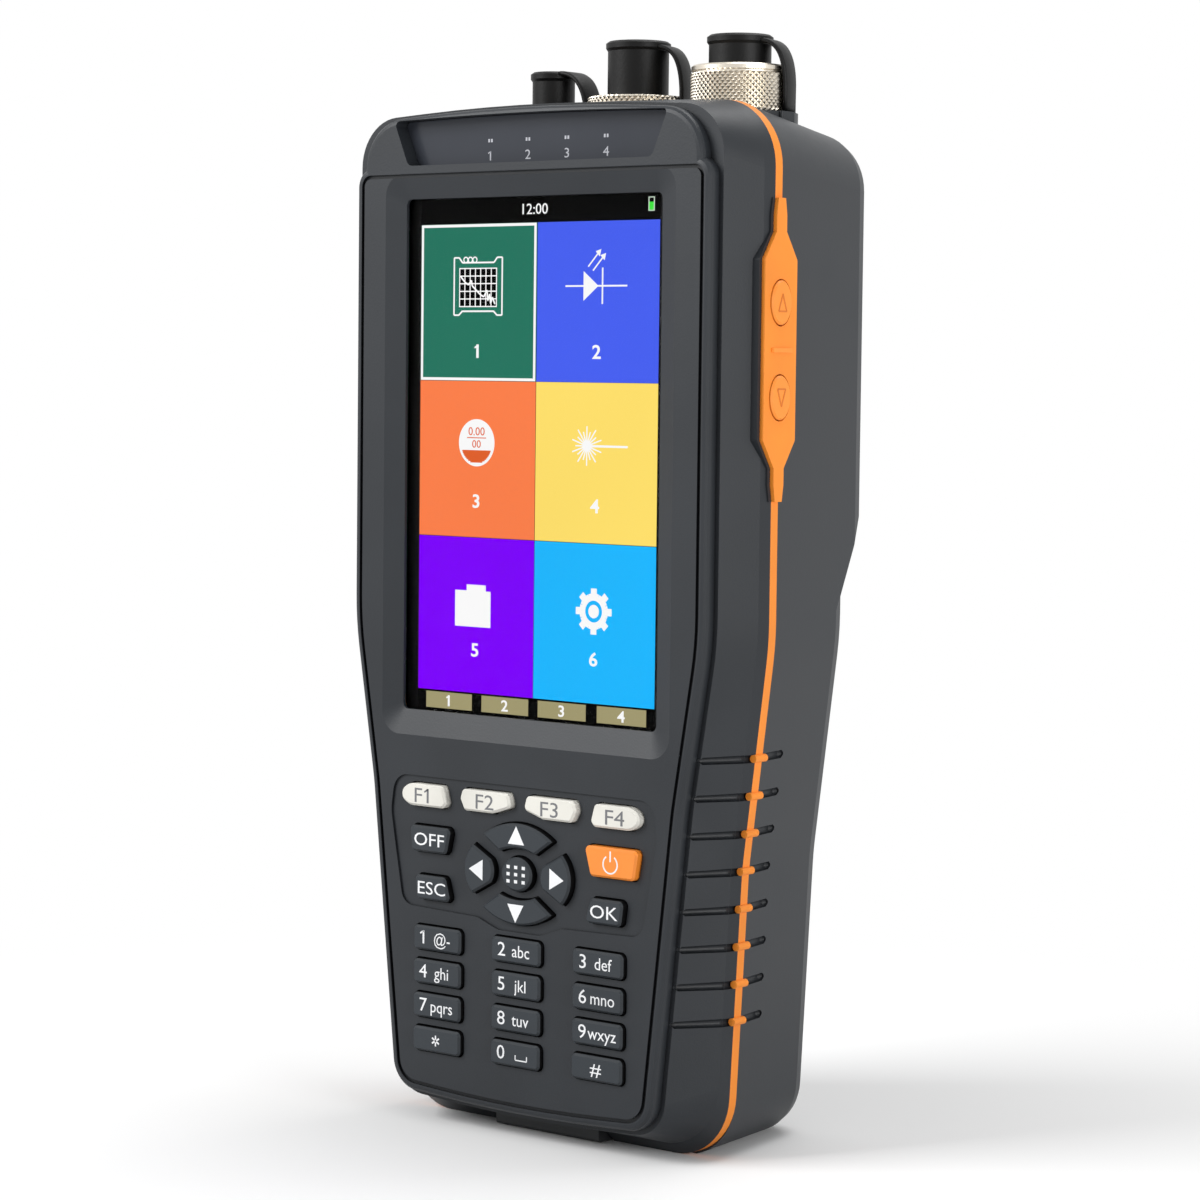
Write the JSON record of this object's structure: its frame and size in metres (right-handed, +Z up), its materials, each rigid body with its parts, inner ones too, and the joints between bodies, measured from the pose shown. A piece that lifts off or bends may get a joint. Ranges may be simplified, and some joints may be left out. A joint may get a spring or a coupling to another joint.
{
  "type": "optical time domain reflectometer",
  "caption": "Handheld fibre tester with a tall colour screen, a rubber keypad, capped optical ports on top, side keys and a ribbed grip.",
  "frame": {"origin": "middle of the sole, on the plane it stands on", "axes": "+X to the right as the screen is read, +Y from the screen to the back, +Z up"},
  "size_m": [0.0932, 0.0524, 0.1999],
  "materials": {
    "housing": "fine moulded texture",
    "orange_rubber": "soft matt",
    "side_key": "soft matt",
    "tinted_window": "polished, grey tint",
    "display_lens": "polished",
    "display": "lit panel",
    "ivory_key": "satin",
    "slate_key": "satin",
    "orange_key": "satin",
    "key_mat": "matt",
    "circuit_board": "solder mask",
    "optics_case": "brushed",
    "battery_wrap": "shrink sleeve",
    "socket": "moulded",
    "socket_metal": "plated",
    "black_rubber": "soft matt",
    "screw_steel": "blackened",
    "nickel": "nickel plated"
  },
  "bodies": {
    "housing": {"battery_door": "housing", "battery_door_screws": "screw_steel", "battery_pack": "battery_wrap", "dc_jack": "socket", "display_lens": "display_lens", "front_shell": "housing", "housing_screws": "screw_steel", "keypad_board": "circuit_board", "keypad_mat": "key_mat", "lcd_module": "display", "led_board": "circuit_board", "led_window": "tinted_window", "main_board": "circuit_board", "opm_port": "nickel", "opm_strap": "black_rubber", "optics_module": "optics_case", "otdr_port": "nickel", "otdr_strap": "black_rubber", "parting_seal": "orange_rubber", "rear_shell": "housing", "side_button_pad": "orange_rubber", "usb_socket": "socket_metal", "vfl_port": "nickel", "vfl_strap": "black_rubber"},
    "key_0": {"key_0": "slate_key"},
    "key_1": {"key_1": "slate_key"},
    "key_2": {"key_2": "slate_key"},
    "key_3": {"key_3": "slate_key"},
    "key_4": {"key_4": "slate_key"},
    "key_5": {"key_5": "slate_key"},
    "key_6": {"key_6": "slate_key"},
    "key_7": {"key_7": "slate_key"},
    "key_8": {"key_8": "slate_key"},
    "key_9": {"key_9": "slate_key"},
    "key_center": {"key_center": "ivory_key"},
    "key_down": {"key_down": "slate_key"},
    "key_esc": {"key_esc": "slate_key"},
    "key_f1": {"key_f1": "ivory_key"},
    "key_f2": {"key_f2": "ivory_key"},
    "key_f3": {"key_f3": "ivory_key"},
    "key_f4": {"key_f4": "ivory_key"},
    "key_hash": {"key_hash": "slate_key"},
    "key_left": {"key_left": "slate_key"},
    "key_off": {"key_off": "slate_key"},
    "key_ok": {"key_ok": "slate_key"},
    "key_power": {"key_power": "orange_key"},
    "key_right": {"key_right": "slate_key"},
    "key_star": {"key_star": "slate_key"},
    "key_up": {"key_up": "slate_key"},
    "side_button_up": {"side_button_up": "side_key"},
    "side_button_down": {"side_button_down": "side_key"},
    "vfl_cap": {"vfl_cap": "black_rubber"},
    "opm_cap": {"opm_cap": "black_rubber"},
    "otdr_cap": {"otdr_cap": "black_rubber"},
    "opm_nut": {"opm_nut": "nickel"},
    "otdr_nut": {"otdr_nut": "nickel"},
    "port_cover": {"port_cover": "black_rubber"}
  },
  "joints": [
    {"name": "key_0_press", "type": "slide", "parent": "housing", "child": "key_0", "axis": [0, 1, 0], "range_m": [0, 0.0008], "stiffness_N_per_m": 600},
    {"name": "key_1_press", "type": "slide", "parent": "housing", "child": "key_1", "axis": [0, 1, 0], "range_m": [0, 0.0008], "stiffness_N_per_m": 600},
    {"name": "key_2_press", "type": "slide", "parent": "housing", "child": "key_2", "axis": [0, 1, 0], "range_m": [0, 0.0008], "stiffness_N_per_m": 600},
    {"name": "key_3_press", "type": "slide", "parent": "housing", "child": "key_3", "axis": [0, 1, 0], "range_m": [0, 0.0008], "stiffness_N_per_m": 600},
    {"name": "key_4_press", "type": "slide", "parent": "housing", "child": "key_4", "axis": [0, 1, 0], "range_m": [0, 0.0008], "stiffness_N_per_m": 600},
    {"name": "key_5_press", "type": "slide", "parent": "housing", "child": "key_5", "axis": [0, 1, 0], "range_m": [0, 0.0008], "stiffness_N_per_m": 600},
    {"name": "key_6_press", "type": "slide", "parent": "housing", "child": "key_6", "axis": [0, 1, 0], "range_m": [0, 0.0008], "stiffness_N_per_m": 600},
    {"name": "key_7_press", "type": "slide", "parent": "housing", "child": "key_7", "axis": [0, 1, 0], "range_m": [0, 0.0008], "stiffness_N_per_m": 600},
    {"name": "key_8_press", "type": "slide", "parent": "housing", "child": "key_8", "axis": [0, 1, 0], "range_m": [0, 0.0008], "stiffness_N_per_m": 600},
    {"name": "key_9_press", "type": "slide", "parent": "housing", "child": "key_9", "axis": [0, 1, 0], "range_m": [0, 0.0008], "stiffness_N_per_m": 600},
    {"name": "key_center_press", "type": "slide", "parent": "housing", "child": "key_center", "axis": [0, 1, 0], "range_m": [0, 0.0008], "stiffness_N_per_m": 600},
    {"name": "key_down_press", "type": "slide", "parent": "housing", "child": "key_down", "axis": [0, 1, 0], "range_m": [0, 0.0008], "stiffness_N_per_m": 600},
    {"name": "key_esc_press", "type": "slide", "parent": "housing", "child": "key_esc", "axis": [0, 1, 0], "range_m": [0, 0.0008], "stiffness_N_per_m": 600},
    {"name": "key_f1_press", "type": "slide", "parent": "housing", "child": "key_f1", "axis": [0, 1, 0], "range_m": [0, 0.0008], "stiffness_N_per_m": 600},
    {"name": "key_f2_press", "type": "slide", "parent": "housing", "child": "key_f2", "axis": [0, 1, 0], "range_m": [0, 0.0008], "stiffness_N_per_m": 600},
    {"name": "key_f3_press", "type": "slide", "parent": "housing", "child": "key_f3", "axis": [0, 1, 0], "range_m": [0, 0.0008], "stiffness_N_per_m": 600},
    {"name": "key_f4_press", "type": "slide", "parent": "housing", "child": "key_f4", "axis": [0, 1, 0], "range_m": [0, 0.0008], "stiffness_N_per_m": 600},
    {"name": "key_hash_press", "type": "slide", "parent": "housing", "child": "key_hash", "axis": [0, 1, 0], "range_m": [0, 0.0008], "stiffness_N_per_m": 600},
    {"name": "key_left_press", "type": "slide", "parent": "housing", "child": "key_left", "axis": [0, 1, 0], "range_m": [0, 0.0008], "stiffness_N_per_m": 600},
    {"name": "key_off_press", "type": "slide", "parent": "housing", "child": "key_off", "axis": [0, 1, 0], "range_m": [0, 0.0008], "stiffness_N_per_m": 600},
    {"name": "key_ok_press", "type": "slide", "parent": "housing", "child": "key_ok", "axis": [0, 1, 0], "range_m": [0, 0.0008], "stiffness_N_per_m": 600},
    {"name": "key_power_press", "type": "slide", "parent": "housing", "child": "key_power", "axis": [0, 1, 0], "range_m": [0, 0.0008], "stiffness_N_per_m": 600},
    {"name": "key_right_press", "type": "slide", "parent": "housing", "child": "key_right", "axis": [0, 1, 0], "range_m": [0, 0.0008], "stiffness_N_per_m": 600},
    {"name": "key_star_press", "type": "slide", "parent": "housing", "child": "key_star", "axis": [0, 1, 0], "range_m": [0, 0.0008], "stiffness_N_per_m": 600},
    {"name": "key_up_press", "type": "slide", "parent": "housing", "child": "key_up", "axis": [0, 1, 0], "range_m": [0, 0.0008], "stiffness_N_per_m": 600},
    {"name": "side_button_up_press", "type": "slide", "parent": "housing", "child": "side_button_up", "axis": [-1, 0, 0], "range_m": [0, 0.0008], "stiffness_N_per_m": 600},
    {"name": "side_button_down_press", "type": "slide", "parent": "housing", "child": "side_button_down", "axis": [-1, 0, 0], "range_m": [0, 0.0008], "stiffness_N_per_m": 600},
    {"name": "vfl_cap_pull", "type": "slide", "parent": "housing", "child": "vfl_cap", "axis": [0, 0, 1], "range_m": [0, 0.008], "deforming": ["vfl_strap"]},
    {"name": "opm_cap_pull", "type": "slide", "parent": "housing", "child": "opm_cap", "axis": [0, 0, 1], "range_m": [0, 0.012], "deforming": ["opm_strap"]},
    {"name": "otdr_cap_pull", "type": "slide", "parent": "housing", "child": "otdr_cap", "axis": [0, 0, 1], "range_m": [0, 0.012], "deforming": ["otdr_strap"]},
    {"name": "opm_nut_turn", "type": "hinge", "parent": "housing", "child": "opm_nut", "pos_m": [0, 0.0064, 0.19], "axis": [0, 0, 1], "continuous": true},
    {"name": "otdr_nut_turn", "type": "hinge", "parent": "housing", "child": "otdr_nut", "pos_m": [0.0235, 0.0064, 0.19], "axis": [0, 0, 1], "continuous": true},
    {"name": "port_cover_open", "type": "hinge", "parent": "housing", "child": "port_cover", "pos_m": [0, 0.0016, 0.0016], "axis": [1, 0, 0], "range_deg": [0, 100]}
  ]
}
